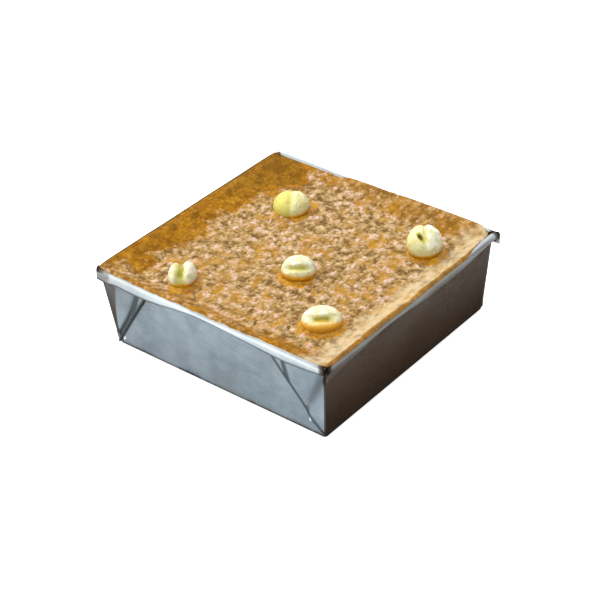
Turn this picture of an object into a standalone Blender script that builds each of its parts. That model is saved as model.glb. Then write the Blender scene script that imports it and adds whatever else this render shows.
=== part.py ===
"""Khanom mo kaeng: a baked coconut and egg custard with five lotus seeds, in its own square folded tin.

Metres, +Z up. The origin is the centre of the tin's flat bottom. The two walls across Y carry the folded
corner flaps, as on a pan bent from one sheet, and the two walls across X are plain.
"""

import math
from collections import namedtuple

import bmesh
import bpy
from mathutils import Matrix, Vector, noise

# The tin: driving dimensions.
RIM_WIDTH = 0.130
BASE_WIDTH = 0.1192
HEIGHT = 0.0420
SHEET = 0.0005
BEND_RADIUS = 0.0018
CORNER_RADIUS = 0.0011

# The hem: the sheet rolled outwards and tucked back under, measured at mid-sheet.
HEM_WIDTH = 0.0026
HEM_DROP = 0.0037
HEM_TUCK_RADIUS = 0.0006
HEM_WAVE = 0.0006
HEM_WAVE_TURNS = 7
RIM_SAG = 0.0006
RIM_SAG_TURNS = 9
NEAR_CORNER_SAG = 0.0006
# How far each hem runs past its wall at its first and last end, as a share of its width: front, right,
# back and left. The two hems at the near corner both stop short, so their open rolls face each other.
HEM_ENDS = ((1.4, 0.0), (0.0, 1.4), (0.9, 0.3), (1.0, 0.5))

# The corner flaps: a doubled triangle of sheet, folded flat onto a wall across Y.
FLAP_THICKNESS = 0.0008
FLAP_TIP_FROM_CORNER = 0.0275
FLAP_RIDGE_FROM_CORNER = 0.0085
FLAP_RIDGE_RISE = 0.0005
FLAP_FOOT_HEIGHT = 0.0022
FLAP_FOOT_WIDTH = 0.0012
FLAP_CORNER_BULGE = 0.0009
FLAP_FOLD_RADIUS = 0.0003

# The custard: its level in the middle and at the walls, and how wide its rising edge is on each side.
GAP = 0.0003
CUSTARD_MIDDLE = 0.0382
CUSTARD_EDGE = 0.0411
CUSTARD_CORNER_RADIUS = 0.0048
EDGE_BAND_LEFT = 0.0140
EDGE_BAND_RIGHT = 0.0060
EDGE_BAND_FRONT = 0.0070
EDGE_BAND_BACK = 0.0100
LUMP_SIZE = 0.0090
LUMP_HEIGHT = 0.0006
GRAIN_SIZE = 0.0036
GRAIN_HEIGHT = 0.0007
EDGE_CALM = 0.75
COLLAR_WIDTH = 0.0022
COLLAR_HEIGHT = 0.0008
CORNER_SHARPNESS = 16

# How finely each surface is cut.
SIDE_STEPS = 9
CORNER_STEPS = 2
BEND_STEPS = 2
WALL_STEPS = 2
ROLL_STEPS = 4
CUSTARD_STEPS = 58
SEED_AROUND = 22
SEED_ALONG = 11
SEED_TOP_CROWDING = 0.45

# One lotus seed: its place, the turn of its cleft from +X, its size, how far its middle stands above
# the custard, the cleft between its two lobes, and how far it leans over its own length.
Seed = namedtuple("Seed", "name x y turn length width height lift cleft_width cleft_depth lean")
SEEDS = (
    Seed("lotus_seed_left", -0.0301, -0.0455, 126, 0.0168, 0.0128, 0.0130, 0.0024, 0.0021, 0.0040, -4),
    Seed("lotus_seed_centre", 0.0089, -0.0121, 36, 0.0155, 0.0152, 0.0128, 0.0024, 0.0010, 0.0028, -14),
    Seed("lotus_seed_right", 0.0431, 0.0360, 128, 0.0174, 0.0162, 0.0168, 0.0045, 0.0014, 0.0044, -6),
    Seed("lotus_seed_front", 0.0407, -0.0363, 40, 0.0178, 0.0154, 0.0120, 0.0016, 0.0023, 0.0030, 4),
    Seed("lotus_seed_back", -0.0280, 0.0291, 124, 0.0176, 0.0172, 0.0130, 0.0022, 0.0009, 0.0022, 0),
)

TIN_COLOUR = (0.30, 0.34, 0.37, 1)
CUSTARD_COLOUR = (0.55, 0.33, 0.12, 1)
SEED_COLOUR = (0.78, 0.72, 0.38, 1)

ROLL_RADIUS = HEM_WIDTH / 2
TOP_HALF = RIM_WIDTH / 2 - SHEET / 2 - HEM_WIDTH
BASE_HALF = BASE_WIDTH / 2 - SHEET / 2
ROLL_START = HEIGHT - SHEET / 2 - ROLL_RADIUS
SIDE_ALONG = (Vector((1, 0, 0)), Vector((0, 1, 0)), Vector((-1, 0, 0)), Vector((0, -1, 0)))
SIDE_OUT = (Vector((0, -1, 0)), Vector((1, 0, 0)), Vector((0, 1, 0)), Vector((-1, 0, 0)))
UP = Vector((0, 0, 1))


def clear_scene():
    for obj in list(bpy.data.objects):
        bpy.data.objects.remove(obj, do_unlink=True)


def material(name, colour, roughness, metallic):
    made = bpy.data.materials.new(name)
    made.use_nodes = True
    shader = made.node_tree.nodes["Principled BSDF"]
    shader.inputs["Base Color"].default_value = colour
    shader.inputs["Roughness"].default_value = roughness
    shader.inputs["Metallic"].default_value = metallic
    made.diffuse_color = colour
    return made


def object_from(bm, name, finish=None, sharp_angle=40):
    mesh = bpy.data.meshes.new(name)
    bmesh.ops.recalc_face_normals(bm, faces=bm.faces)
    bm.to_mesh(mesh)
    bm.free()
    mesh.shade_smooth()
    mesh.set_sharp_from_angle(angle=math.radians(sharp_angle))
    obj = bpy.data.objects.new(name, mesh)
    bpy.context.scene.collection.objects.link(obj)
    if finish:
        mesh.materials.append(finish)
    return obj


def helper_collection(name):
    made = bpy.data.collections.new(name)
    bpy.context.scene.collection.children.link(made)
    return made


def as_helper(obj, collection):
    """Hides a cutter or a piece that is joined to another, and keeps it in its collection."""
    bpy.context.scene.collection.objects.unlink(obj)
    collection.objects.link(obj)
    obj.hide_render = True
    obj.display_type = "WIRE"


def boolean(obj, operation, collection):
    made = obj.modifiers.new(operation.title(), "BOOLEAN")
    made.operation = operation
    made.operand_type = "COLLECTION"
    made.collection = collection


def smooth_step(t):
    t = min(max(t, 0.0), 1.0)
    return t * t * (3 - 2 * t)


def wall_half(z):
    """Half the tin's width at a height, at mid-sheet: the walls lean out evenly."""
    return BASE_HALF + (TOP_HALF - BASE_HALF) * z / ROLL_START


def rim_sag(side, along):
    """How far a hand-bent rim lies below its highest corners: along its middle, and at the near corner."""
    share = along / TOP_HALF
    to_near_corner = {0: (1 + share) / 2, 1: (1 - share) / 2}.get(side, 0.0)
    wave = 0.6 + 0.4 * math.sin(RIM_SAG_TURNS * share + 2 * side)
    return RIM_SAG * (1 - share ** 2) * wave + NEAR_CORNER_SAG * to_near_corner ** 3


def hem_drop(side, along):
    """The depth of the hem, which is deepest where it grips the doubled corners."""
    share = along / TOP_HALF
    wave = 0.7 * math.sin(HEM_WAVE_TURNS * share + 1.5 * side) - 0.3
    return HEM_DROP + HEM_WAVE * (share ** 4 + wave)


def outline(half, radius):
    """A round-cornered square as four sides: each its points, then the arc of the corner after it."""
    sides = []
    reach = half - radius
    for along, out in zip(SIDE_ALONG, SIDE_OUT):
        side = [out * half + along * reach * (2 * k / SIDE_STEPS - 1) for k in range(SIDE_STEPS + 1)]
        centre = (out + along) * reach
        for k in range(1, CORNER_STEPS):
            angle = math.pi / 2 * k / CORNER_STEPS
            side.append(centre + (out * math.cos(angle) + along * math.sin(angle)) * radius)
        sides.append(side)
    return sides


def ring(bm, half, radius, height):
    """New vertices along an outline, at a height that is a number or a function of side and place."""
    verts = []
    for index, side in enumerate(outline(half, radius)):
        for point in side:
            z = height(index, point.dot(SIDE_ALONG[index])) if callable(height) else height
            verts.append(bm.verts.new(point + UP * z))
    return verts


def skin(bm, first, second, closed):
    """Quads between two rows with the same number of vertices."""
    pairs = list(zip(first, second))
    if closed:
        pairs.append(pairs[0])
    for (a, b), (c, d) in zip(pairs, pairs[1:]):
        bm.faces.new((a, c, d, b))


def hem_profile(drop):
    """Points of the rolled hem as (out, up) from where the wall ends, at mid-sheet."""
    points = []
    for k in range(1, ROLL_STEPS + 1):
        angle = math.pi * (1 - k / ROLL_STEPS)
        points.append((ROLL_RADIUS * (1 + math.cos(angle)), ROLL_RADIUS * math.sin(angle)))
    foot = ROLL_RADIUS - drop
    tuck = HEM_WIDTH - HEM_TUCK_RADIUS
    points.append((HEM_WIDTH, foot + HEM_TUCK_RADIUS))
    points.append((tuck + HEM_TUCK_RADIUS * math.sqrt(0.5), foot + HEM_TUCK_RADIUS * (1 - math.sqrt(0.5))))
    points.append((tuck, foot))
    return points


def add_hem(bm, root, side):
    """Rolls one wall's top edge outwards. Each end slants away past the wall as far as HEM_ENDS says."""
    along, out = SIDE_ALONG[side], SIDE_OUT[side]
    slants = [0.0] * len(root)
    slants[0], slants[-1] = -HEM_ENDS[side][0], HEM_ENDS[side][1]
    profiles = [hem_profile(hem_drop(side, vert.co.dot(along))) for vert in root]
    previous = root
    for row in zip(*profiles):
        verts = []
        for vert, slant, (u, v) in zip(root, slants, row):
            verts.append(bm.verts.new(vert.co + out * u + UP * v + along * slant * u))
        skin(bm, previous, verts, closed=False)
        previous = verts


def tin_sheet():
    """The tin's sheet at mid-thickness: a flat bottom, bent up into leaning walls with a hem on each."""
    bm = bmesh.new()
    floor = SHEET / 2
    rows = [ring(bm, BASE_HALF - BEND_RADIUS, CORNER_RADIUS, floor)]
    for k in range(1, BEND_STEPS + 1):
        angle = math.pi / 2 * k / BEND_STEPS
        half = BASE_HALF - BEND_RADIUS * (1 - math.sin(angle))
        rows.append(ring(bm, half, CORNER_RADIUS, floor + BEND_RADIUS * (1 - math.cos(angle))))
    for k in range(1, WALL_STEPS):
        z = floor + BEND_RADIUS + (ROLL_START - floor - BEND_RADIUS) * k / WALL_STEPS
        rows.append(ring(bm, wall_half(z), CORNER_RADIUS, z))
    rows.append(ring(bm, TOP_HALF, CORNER_RADIUS, lambda side, place: ROLL_START - rim_sag(side, place)))
    bm.faces.new(list(reversed(rows[0])))
    for lower, upper in zip(rows, rows[1:]):
        skin(bm, lower, upper, closed=True)
    per_side = SIDE_STEPS + CORNER_STEPS
    for side in range(4):
        start = side * per_side
        add_hem(bm, rows[-1][start:start + SIDE_STEPS + 1], side)
    return bm


def flap(name, x_sign, y_sign):
    """One doubled corner flap: a wedge from the bottom corner up to the rim, its round fold on the wall."""
    top = HEIGHT - HEM_DROP + 2 * HEM_TUCK_RADIUS
    foot = FLAP_FOOT_HEIGHT
    corner_top, corner_foot = wall_half(top), wall_half(foot)
    places = (
        (corner_foot, foot, 0.0),
        (corner_top + FLAP_CORNER_BULGE, top, 0.0),
        (corner_top - FLAP_RIDGE_FROM_CORNER, top, FLAP_RIDGE_RISE),
        (corner_top - FLAP_TIP_FROM_CORNER, top, 0.0),
        (corner_foot - FLAP_FOOT_WIDTH, foot, 0.0),
    )
    bm = bmesh.new()
    inner = [bm.verts.new((x_sign * x, y_sign * wall_half(z), z)) for x, z, _ in places]
    proud = SHEET / 2 + FLAP_THICKNESS
    outer = [bm.verts.new((x_sign * x, y_sign * (wall_half(z) + proud + rise), z)) for x, z, rise in places]
    bm.faces.new(inner)
    for corner in range(2, len(outer)):
        bm.faces.new((outer[0], outer[corner - 1], outer[corner]))
    skin(bm, inner, outer, closed=True)
    fold = [bm.edges.get((outer[3], outer[4])), bm.edges.get((outer[0], outer[1]))]
    bmesh.ops.bevel(
        bm, geom=fold, offset=FLAP_FOLD_RADIUS, segments=2, profile=0.5, affect="EDGES", material=-1
    )
    return object_from(bm, name)


def make_tin():
    tin = object_from(tin_sheet(), "tin", material("tinned_sheet", TIN_COLOUR, 0.35, 1.0))
    thickness = tin.modifiers.new("Thickness", "SOLIDIFY")
    thickness.thickness = SHEET
    thickness.offset = 0
    thickness.use_even_offset = True
    flaps = helper_collection("flaps")
    for x_sign in (-1, 1):
        for y_sign in (-1, 1):
            as_helper(flap("flap", x_sign, y_sign), flaps)
    boolean(tin, "UNION", flaps)
    return tin


def edge_rise(x, y):
    """How far the custard has climbed from its middle, 0, towards its edge, 1."""
    edge = wall_half(CUSTARD_EDGE)
    bands = (
        (edge + x, EDGE_BAND_LEFT),
        (edge - x, EDGE_BAND_RIGHT),
        (edge + y, EDGE_BAND_FRONT),
        (edge - y, EDGE_BAND_BACK),
    )
    flat = 1.0
    for distance, band in bands:
        flat *= smooth_step(distance / band)
    return 1 - flat


def custard_level(x, y):
    """The height of the custard's top without its grain."""
    return CUSTARD_MIDDLE + (CUSTARD_EDGE - CUSTARD_MIDDLE) * edge_rise(x, y)


def seed_distance(x, y):
    """How far a point lies outside the nearest seed, in plan."""
    nearest = 1.0
    for seed in SEEDS:
        offset = Vector((x - seed.x, y - seed.y))
        nearest = min(nearest, offset.length - (seed.length + seed.width) / 4)
    return nearest


def custard_top(x, y):
    """The custard's top: lumps and coarse grain, calmer at the walls, with a raised collar at each seed."""
    place = Vector((x, y, 0))
    calm = 1 - EDGE_CALM * edge_rise(x, y)
    lumps = LUMP_HEIGHT * noise.noise(place / LUMP_SIZE)
    grain = GRAIN_HEIGHT * noise.noise(place / GRAIN_SIZE + UP * 7)
    collar = COLLAR_HEIGHT * (1 - smooth_step(seed_distance(x, y) / COLLAR_WIDTH))
    return custard_level(x, y) + (lumps + grain) * calm + collar


def round_corner(x, y, half, radius):
    """Draws the corner of a square plan in to a round one, and leaves the rest almost where it was."""
    share = (abs(x) * abs(y) / half ** 2) ** CORNER_SHARPNESS
    pull = 1 - share * radius * (1 - math.sqrt(0.5)) / half
    return x * pull, y * pull


def make_custard(pits):
    bm = bmesh.new()
    half = wall_half(CUSTARD_EDGE) - SHEET / 2 - GAP
    bmesh.ops.create_grid(bm, x_segments=CUSTARD_STEPS, y_segments=CUSTARD_STEPS, size=half)
    for vert in bm.verts:
        x, y = round_corner(vert.co.x, vert.co.y, half, CUSTARD_CORNER_RADIUS)
        vert.co = (x, y, custard_top(x, y))
    floor = SHEET + GAP
    chamfer = BEND_RADIUS
    levels = ((floor + chamfer, 0.0), (floor, chamfer))
    for z, draw_in in levels:
        rim = [edge for edge in bm.edges if edge.is_boundary]
        grown = bmesh.ops.extrude_edge_only(bm, edges=rim)["geom"]
        scale = (wall_half(z) - SHEET / 2 - GAP - draw_in) / half
        for vert in (item for item in grown if isinstance(item, bmesh.types.BMVert)):
            vert.co = (vert.co.x * scale, vert.co.y * scale, z)
        half *= scale
    bmesh.ops.contextual_create(bm, geom=[edge for edge in bm.edges if edge.is_boundary])
    custard = object_from(bm, "custard", material("baked_custard", CUSTARD_COLOUR, 0.55, 0.0), 60)
    boolean(custard, "DIFFERENCE", pits)
    return custard


def seed_matrix(seed):
    """Places a seed whose cleft runs along its own X."""
    middle = Vector((seed.x, seed.y, custard_level(seed.x, seed.y) + seed.lift))
    turn = Matrix.Rotation(math.radians(seed.turn), 4, "Z")
    lean = Matrix.Rotation(math.radians(seed.lean), 4, "X")
    return Matrix.Translation(middle) @ turn @ lean


def ellipsoid(length, width, height):
    """A ball with its poles on X, scaled, with its vertices drawn together over its top."""
    bm = bmesh.new()
    bmesh.ops.create_uvsphere(bm, u_segments=SEED_AROUND, v_segments=SEED_ALONG, radius=1)
    bmesh.ops.rotate(bm, verts=bm.verts, matrix=Matrix.Rotation(math.pi / 2, 3, "Y"))
    for vert in bm.verts:
        around = math.atan2(vert.co.y, vert.co.z)
        radius = math.hypot(vert.co.y, vert.co.z)
        around -= SEED_TOP_CROWDING * math.sin(around)
        vert.co.y = radius * math.sin(around) * width / 2
        vert.co.z = radius * math.cos(around) * height / 2
        vert.co.x *= length / 2
    return bm


def make_seed(seed, finish):
    """A split lotus seed: two lobes joined below, with an open cleft along the top."""
    bm = ellipsoid(seed.length, seed.width, seed.height)
    for vert in bm.verts:
        top = smooth_step(2 * vert.co.z / seed.height)
        across = math.exp(-((vert.co.y / seed.cleft_width) ** 2))
        along = 1 - (2 * vert.co.x / seed.length) ** 4
        vert.co.z -= seed.cleft_depth * top * across * along
    obj = object_from(bm, seed.name, finish, 70)
    obj.matrix_world = seed_matrix(seed)
    return obj


def seed_pit(seed):
    """What the custard leaves free for a seed: the seed's outside without its cleft, a gap larger."""
    grown = [size + 2 * GAP for size in (seed.length, seed.width, seed.height)]
    obj = object_from(ellipsoid(*grown), "pit_" + seed.name)
    obj.matrix_world = seed_matrix(seed)
    return obj


clear_scene()
make_tin()
seed_pits = helper_collection("pits")
seed_finish = material("boiled_lotus_seed", SEED_COLOUR, 0.4, 0.0)
for lotus_seed in SEEDS:
    make_seed(lotus_seed, seed_finish)
    as_helper(seed_pit(lotus_seed), seed_pits)
make_custard(seed_pits)
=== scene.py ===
"""Khanom mo kaeng in its square tin: the finish of the tin, the baked custard and the lotus seeds."""

import math
from collections import namedtuple

import bmesh
import bpy
from mathutils import Matrix, Vector, noise


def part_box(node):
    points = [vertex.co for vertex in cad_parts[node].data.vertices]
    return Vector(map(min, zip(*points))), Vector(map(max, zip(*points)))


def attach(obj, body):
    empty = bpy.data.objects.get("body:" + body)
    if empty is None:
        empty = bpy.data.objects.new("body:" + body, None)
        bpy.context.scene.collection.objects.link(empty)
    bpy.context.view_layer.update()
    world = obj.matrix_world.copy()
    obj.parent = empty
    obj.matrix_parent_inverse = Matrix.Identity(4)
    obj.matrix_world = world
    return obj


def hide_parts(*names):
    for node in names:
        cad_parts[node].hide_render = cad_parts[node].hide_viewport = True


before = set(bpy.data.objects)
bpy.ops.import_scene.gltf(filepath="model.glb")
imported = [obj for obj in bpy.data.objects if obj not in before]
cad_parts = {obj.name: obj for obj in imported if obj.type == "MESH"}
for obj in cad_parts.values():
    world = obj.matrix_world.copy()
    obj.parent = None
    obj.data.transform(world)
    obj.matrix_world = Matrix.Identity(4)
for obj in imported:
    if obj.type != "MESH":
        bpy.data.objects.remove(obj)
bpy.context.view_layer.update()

# The tin is one sheet of bare tinplate, bent up from its flat bottom into four walls that lean outwards.
# Each wall's top edge is rolled over by hand into a hem, so the rim sags and waves a little, and the
# walls show soft dents.

SHEET = 0.0005
FOOT_HALF = 0.0596
BEND_RADIUS = 0.0006
CORNER_RADIUS = 0.0009
HEM_WIDTH = 0.00262
HEM_DROP = 0.0043
HEM_WAVE = 0.0016
HEM_WAVE_TURNS = 4.65
HEM_WAVE_SHIFT = 1.5
HEM_TAPER = 0.0006
ROLL_RADIUS = 0.0009
SHOULDER_RADIUS = 0.0024
TUCK_RADIUS = 0.00055
ROLL_TURN = math.radians(125)
SHOULDER_TURN = math.radians(173)
TUCK_TURN = math.radians(350)
FACE_DROP = 0.0014
ROLL_STEPS = 9
SHOULDER_STEPS = 5
FACE_STEPS = 3
TUCK_STEPS = 6
RIM_SAG = 0.0005
RIM_SAG_TURNS = 9
RIM_SAG_SWING = 0.4
RIM_SAG_FROM = 0.6
RIM_SAG_FADE = 0.3
NEAR_CORNER_SAG = 0.0003
HEM_END_LONGEST = 0.0033
HEM_END_DROP = 0.0014
HEM_END_FROM = 0.84
HEM_END_FADE = 0.12
HEM_MOUTH_DEPTH = 0.0004
HEM_MOUTH_CLOSING = 0.3
WALL_STEPS_ALONG = 56
WALL_STEPS_UP = 16
BEND_STEPS = 3
WALL_BULGE = 0.0005
DENT_DEPTH = 0.00016
DENT_SIZE = 0.019
DENT_FADE = 6
LEAST_WALL_SHADE = 0.1
RIGHT_WALL_CLEARING = 0.8
CORNER_SHADE_INSET = 0.0014
CORNER_SHADE_DROP = 0.0010
TOUCH = 1e-6

# How steeply each hem's two ends run on past its wall, the further out the more: front, right, back, left.
HEM_ENDS = ((4.0, 0.85), (0.8, 1.7), (1.6, 1.5), (1.5, 1.2))

# Painted shade at the rim's corners, where the hem ends leave dark gaps: which corner, how far it reaches,
# and how thick it is.
SHADED_CORNERS = (
    (1, -1, 0.0042, 2.0),
    (1, 1, 0.0040, 2.0),
    (-1, -1, 0.0024, 2.0),
    (-1, -1, 0.0095, 0.72),
    (-1, 1, 0.0036, 0.9),
)

RIM_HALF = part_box("tin")[1].x
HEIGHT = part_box("tin")[1].z
BASE_HALF = FOOT_HALF - SHEET / 2
TOP_HALF = RIM_HALF - SHEET / 2 - HEM_WIDTH
ROLL_START = HEIGHT - SHEET / 2 - ROLL_RADIUS
UP = Vector((0, 0, 1))
SIDES = (
    (Vector((1, 0, 0)), Vector((0, -1, 0))),
    (Vector((0, 1, 0)), Vector((1, 0, 0))),
    (Vector((-1, 0, 0)), Vector((0, 1, 0))),
    (Vector((0, -1, 0)), Vector((-1, 0, 0))),
)


def smooth_step(t):
    t = min(max(t, 0.0), 1.0)
    return t * t * (3 - 2 * t)


def shade(*channels):
    """A colour as it is seen, 0 to 255 a channel, turned into a shader's own values."""
    return tuple(((c / 255 + 0.055) / 1.055) ** 2.4 if c > 10 else c / 3295 for c in channels) + (1,)


class Wire:
    """The output of a shader node. Arithmetic on it adds Math nodes to the same tree."""

    def __init__(self, finish, socket):
        self.finish = finish
        self.socket = socket

    def math(self, operation, first, second):
        return self.finish.node("Math", {"operation": operation}, {0: first, 1: second})

    def __add__(self, other):
        return self.math("ADD", self, other)

    def __sub__(self, other):
        return self.math("SUBTRACT", self, other)

    def __rsub__(self, other):
        return self.math("SUBTRACT", other, self)

    def __mul__(self, other):
        return self.math("MULTIPLY", self, other)

    __radd__ = __add__
    __rmul__ = __mul__

    def rise(self, low, high):
        """0 below low, 1 above high, and a smooth step between them."""
        sockets = {"Value": self, "From Min": low, "From Max": high}
        return self.finish.node("MapRange", {"interpolation_type": "SMOOTHSTEP"}, sockets)


class Finish:
    """A node tree that is written as expressions."""

    def __init__(self, tree, place="Object"):
        self.tree = tree
        self.place = self.node("TexCoord", output=place)

    def node(self, kind, settings=None, sockets=None, output=0):
        made = self.tree.nodes.new("ShaderNode" + kind)
        for setting, value in (settings or {}).items():
            setattr(made, setting, value)
        for socket, value in (sockets or {}).items():
            if isinstance(value, Wire):
                self.tree.links.new(value.socket, made.inputs[socket])
            else:
                made.inputs[socket].default_value = value
        return Wire(self, made.outputs[output])

    def noise(self, size, detail=2.0, roughness=0.5, vector=None):
        """Soft noise from 0 to 1, with features of about that size in metres."""
        sockets = {"Scale": 1 / size, "Detail": detail, "Roughness": roughness}
        return self.node("TexNoise", None, {"Vector": vector or self.place} | sockets)

    def stretched(self, *scale):
        return self.node("Mapping", None, {"Vector": self.place, "Scale": scale})

    def attribute(self, name):
        return self.node("Attribute", {"attribute_name": name}, output="Fac")

    def mix(self, share, first, second):
        """A colour from the first, at a share of 0, to the second, at 1. Sockets 6 and 7 are the colours."""
        return self.node("Mix", {"data_type": "RGBA"}, {0: share, 6: first, 7: second}, output=2)

    def bump(self, height, distance, strength=1.0):
        return self.node("Bump", None, {"Height": height, "Distance": distance, "Strength": strength})

    def feed(self, target, **wires):
        for socket, wire in wires.items():
            self.tree.links.new(wire.socket, target.inputs[socket.replace("_", " ")])


def principled(name, **constants):
    """A new material with its constants on the shader's own sockets, that shader, and its finish."""
    material = bpy.data.materials.new(name)
    material.use_nodes = True
    shader = material.node_tree.nodes["Principled BSDF"]
    for socket, value in constants.items():
        shader.inputs[socket.replace("_", " ")].default_value = value
    return material, shader, Finish(material.node_tree)


def piece_from(bm, name, material, sharp_angle=50):
    mesh = bpy.data.meshes.new(name)
    bm.to_mesh(mesh)
    bm.free()
    mesh.shade_smooth()
    mesh.set_sharp_from_angle(angle=math.radians(sharp_angle))
    mesh.materials.append(material)
    piece = bpy.data.objects.new(name, mesh)
    bpy.context.scene.collection.objects.link(piece)
    return piece


def grow(bm, edges):
    """Extrudes edges: the new verts, and the new edges that run between them."""
    made = bmesh.ops.extrude_edge_only(bm, edges=edges)["geom"]
    verts = [item for item in made if isinstance(item, bmesh.types.BMVert)]
    fresh = set(verts)
    grown = [item for item in made if isinstance(item, bmesh.types.BMEdge)]
    return verts, [edge for edge in grown if fresh.issuperset(edge.verts)]


def curl(bm, edges, centre, axis, angle, steps):
    """Extrudes edges round an axis, a step at a time: every new vert, and the last edges."""
    made = []
    for _ in range(steps):
        verts, edges = grow(bm, edges)
        bmesh.ops.rotate(bm, verts=verts, cent=centre, matrix=Matrix.Rotation(angle / steps, 3, axis))
        made += verts
    return made, edges


def wall_half(z):
    """Half the tin's width at a height, at mid-sheet: the walls lean out evenly."""
    return BASE_HALF + (TOP_HALF - BASE_HALF) * z / ROLL_START


def rim_sag(side, share):
    """How far the rim lies below its highest corners: along its middle, and at the near corner."""
    to_near_corner = {0: (1 + share) / 2, 1: (1 - share) / 2}.get(side, 0.0)
    wave = 1 - RIM_SAG_SWING + RIM_SAG_SWING * math.sin(RIM_SAG_TURNS * share + 2 * side)
    return RIM_SAG * (1 - share ** 2) * wave + NEAR_CORNER_SAG * to_near_corner ** 3


def hem_drop(side, share):
    """The depth of the hem, which is deepest where it grips the doubled corners."""
    wave = HEM_WAVE * math.cos(HEM_WAVE_TURNS * share + HEM_WAVE_SHIFT * side)
    at_end = smooth_step((-HEM_END_FROM - share) / HEM_END_FADE)
    return HEM_DROP - wave - HEM_TAPER * share + HEM_END_DROP * at_end


def side_of(place):
    """The wall that a place is nearest to, and how far along it the place is, from -1 to 1."""
    side = max(range(4), key=lambda index: place.dot(SIDES[index][1]))
    return side, max(-1.0, min(1.0, place.dot(SIDES[side][0]) / TOP_HALF))


def wall_swell(place):
    """How far a wall swells outwards at a place: a little all over, with soft dents."""
    side, share = side_of(place)
    inside = (1 - share ** 2) * math.sin(math.pi * min(place.z / ROLL_START, 1))
    return WALL_BULGE * inside + DENT_DEPTH * noise.noise(place / DENT_SIZE) * smooth_step(DENT_FADE * inside)


def inward(turn):
    """The way from the sheet to the middle of its bend, out and up, once the hem has turned so far."""
    return Vector((math.cos(turn), -math.sin(turn)))


def bend_middles():
    """The middles of the roll and of the shoulder, out from the wall and up from the roll's start."""
    roll = ROLL_RADIUS * inward(0)
    return roll, roll + (SHOULDER_RADIUS - ROLL_RADIUS) * inward(ROLL_TURN)


def on_corner(place):
    """Whether a place lies on the upright edge between two walls."""
    return abs(abs(place.x) - abs(place.y)) < TOUCH and abs(place.x) > BASE_HALF - BEND_RADIUS - TOUCH


def tops_wall(edge, out):
    """Whether an edge lies along the open top of the wall that faces out."""
    return edge.is_boundary and all(vert.co.dot(out) > TOP_HALF - TOUCH for vert in edge.verts)


def add_hem(bm, side, root, painted_shade):
    """Rolls a wall's top edge outwards, down a nearly upright face, and back in under it."""
    along, out = SIDES[side]
    reach = max(vert.co.dot(along) for edge in root for vert in edge.verts)
    roll, shoulder = bend_middles()
    face = inward(SHOULDER_TURN + math.pi / 2) * -FACE_DROP
    tuck = shoulder + (TUCK_RADIUS - SHOULDER_RADIUS) * inward(SHOULDER_TURN) + face

    def placed(flat):
        return out * (TOP_HALF + flat.x) + UP * (ROLL_START + flat.y)

    rolled, edge_row = curl(bm, root, placed(roll), along, ROLL_TURN, ROLL_STEPS)
    verts, edge_row = curl(bm, edge_row, placed(shoulder), along, SHOULDER_TURN - ROLL_TURN, SHOULDER_STEPS)
    rolled += verts
    for _ in range(FACE_STEPS):
        verts, edge_row = grow(bm, edge_row)
        bmesh.ops.translate(bm, verts=verts, vec=(out * face.x + UP * face.y) / FACE_STEPS)
        rolled += verts
    rolled += curl(bm, edge_row, placed(tuck), along, TUCK_TURN - SHOULDER_TURN, TUCK_STEPS)[0]
    built = ROLL_RADIUS + TUCK_RADIUS - tuck.y
    end_verts = {-1: set(), 1: set()}
    for vert in rolled:
        place = vert.co.dot(along)
        if vert.co.z < ROLL_START:
            depth = (hem_drop(side, place / TOP_HALF) - ROLL_RADIUS) / (built - ROLL_RADIUS)
            vert.co.z = ROLL_START + (vert.co.z - ROLL_START) * depth
        if abs(place) > reach - TOUCH:
            end = 1 if place > 0 else -1
            longer = min(HEM_ENDS[side][max(end, 0)] * (vert.co.dot(out) - TOP_HALF), HEM_END_LONGEST)
            vert.co += along * end * longer
            end_verts[end].add(vert)
    # Each open end of the roll is closed in by a ring painted dark, a painted shade for the shadow inside the
    # roll.
    for end, verts in end_verts.items():
        mouth = [edge for edge in bm.edges if edge.is_boundary and verts.issuperset(edge.verts)]
        inner, mouth = grow(bm, mouth)
        middle = sum((vert.co for vert in inner), Vector()) / len(inner)
        for vert in inner:
            vert.co += (middle - vert.co) * HEM_MOUTH_CLOSING
            vert.co -= along * end * HEM_MOUTH_DEPTH
            vert[painted_shade] = 1
        bmesh.ops.contextual_create(bm, geom=mouth)


bm = bmesh.new()
# This layer holds shade painted into the tin's colour: inside the hem's open ends, over the right wall and at
# the rim's corners.
painted_shade = bm.verts.layers.float.new("painted_shade")
half, height = BASE_HALF - BEND_RADIUS, SHEET / 2
bmesh.ops.create_grid(bm, x_segments=WALL_STEPS_ALONG, y_segments=WALL_STEPS_ALONG, size=half)
bmesh.ops.translate(bm, verts=bm.verts, vec=UP * height)
edge_row = [edge for edge in bm.edges if edge.is_boundary]
levels = []
for k in range(1, BEND_STEPS + 1):
    angle = math.pi / 2 * k / BEND_STEPS
    z = SHEET / 2 + BEND_RADIUS * (1 - math.cos(angle))
    levels.append((BASE_HALF - BEND_RADIUS * (1 - math.sin(angle)), z))
for k in range(1, WALL_STEPS_UP + 1):
    z = SHEET / 2 + BEND_RADIUS + (ROLL_START - SHEET / 2 - BEND_RADIUS) * k / WALL_STEPS_UP
    levels.append((wall_half(z), z))
for next_half, next_height in levels:
    verts, edge_row = grow(bm, edge_row)
    bmesh.ops.scale(bm, verts=verts, vec=(next_half / half, next_half / half, 1))
    bmesh.ops.translate(bm, verts=verts, vec=UP * (next_height - height))
    half, height = next_half, next_height
corners = [edge for edge in bm.edges if all(on_corner(vert.co) for vert in edge.verts)]
bmesh.ops.bevel(bm, geom=corners, offset=CORNER_RADIUS, segments=3, profile=0.5, affect="EDGES", material=-1)
wall_verts = [vert for vert in bm.verts if vert.co.z > SHEET / 2 + BEND_RADIUS + TOUCH]
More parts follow.
